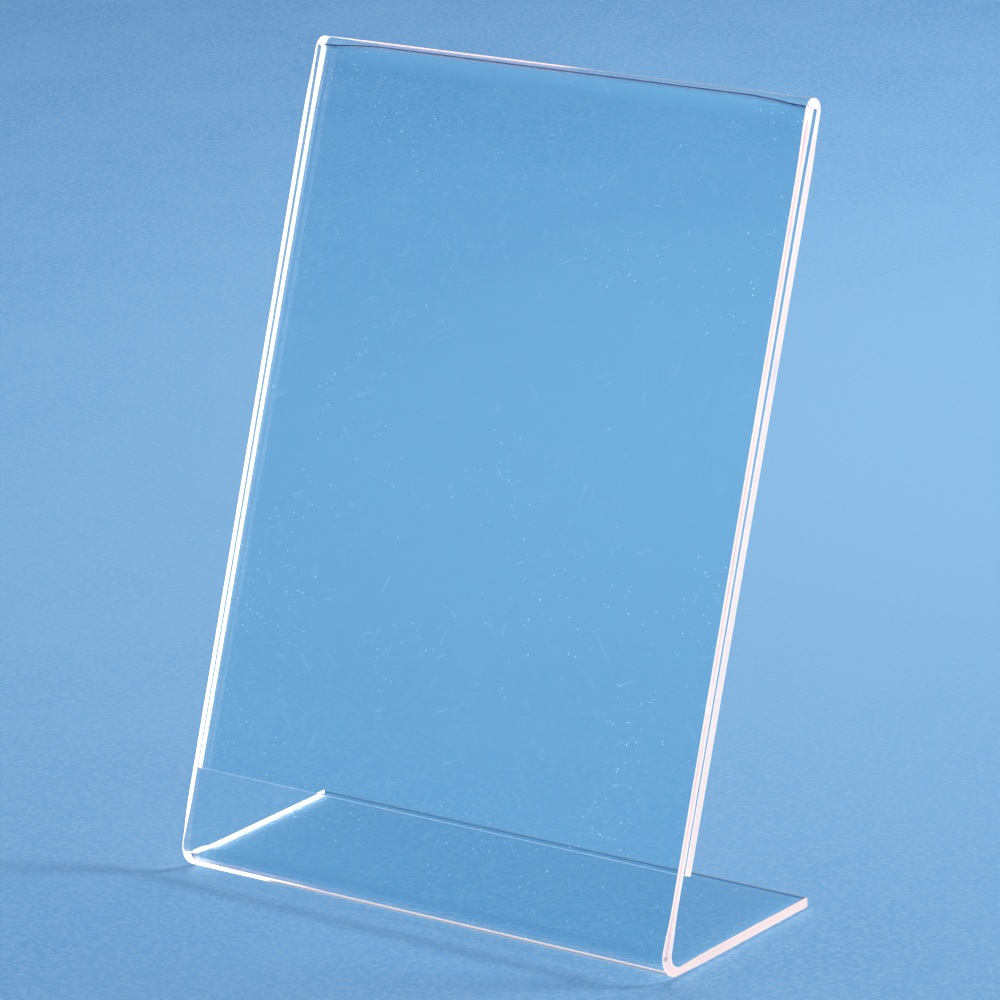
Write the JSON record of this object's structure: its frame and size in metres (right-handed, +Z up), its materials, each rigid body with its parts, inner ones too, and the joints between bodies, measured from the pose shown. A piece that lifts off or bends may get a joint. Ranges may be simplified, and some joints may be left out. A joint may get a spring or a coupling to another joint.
{
  "type": "slant-back photo holder",
  "caption": "Clear bent-sheet photo holder: leaning front panel, folded-over rear flap that pinches the print, and a flat foot.",
  "frame": {"origin": "bottom centre of the bounding box, on the surface the foot stands on", "axes": "+X right as seen from the front, +Y from the front panel towards the back, +Z up"},
  "size_m": [0.1308, 0.0666, 0.1705],
  "materials": {
    "clear_acrylic": "clear gloss sheet with pale cut edges"
  },
  "bodies": {
    "stand": {"foot": "clear_acrylic", "heel_bend": "clear_acrylic", "front_panel": "clear_acrylic", "top_fold": "clear_acrylic"},
    "flap": {"rear_flap": "clear_acrylic"}
  },
  "joints": [
    {"name": "flap_flex", "type": "hinge", "parent": "stand", "child": "flap", "pos_m": [0, 0.03053, 0.16776], "axis": [1, 0, 0], "range_deg": [0, 4], "stiffness_Nm_per_rad": 7, "springref_deg": -0.57}
  ]
}
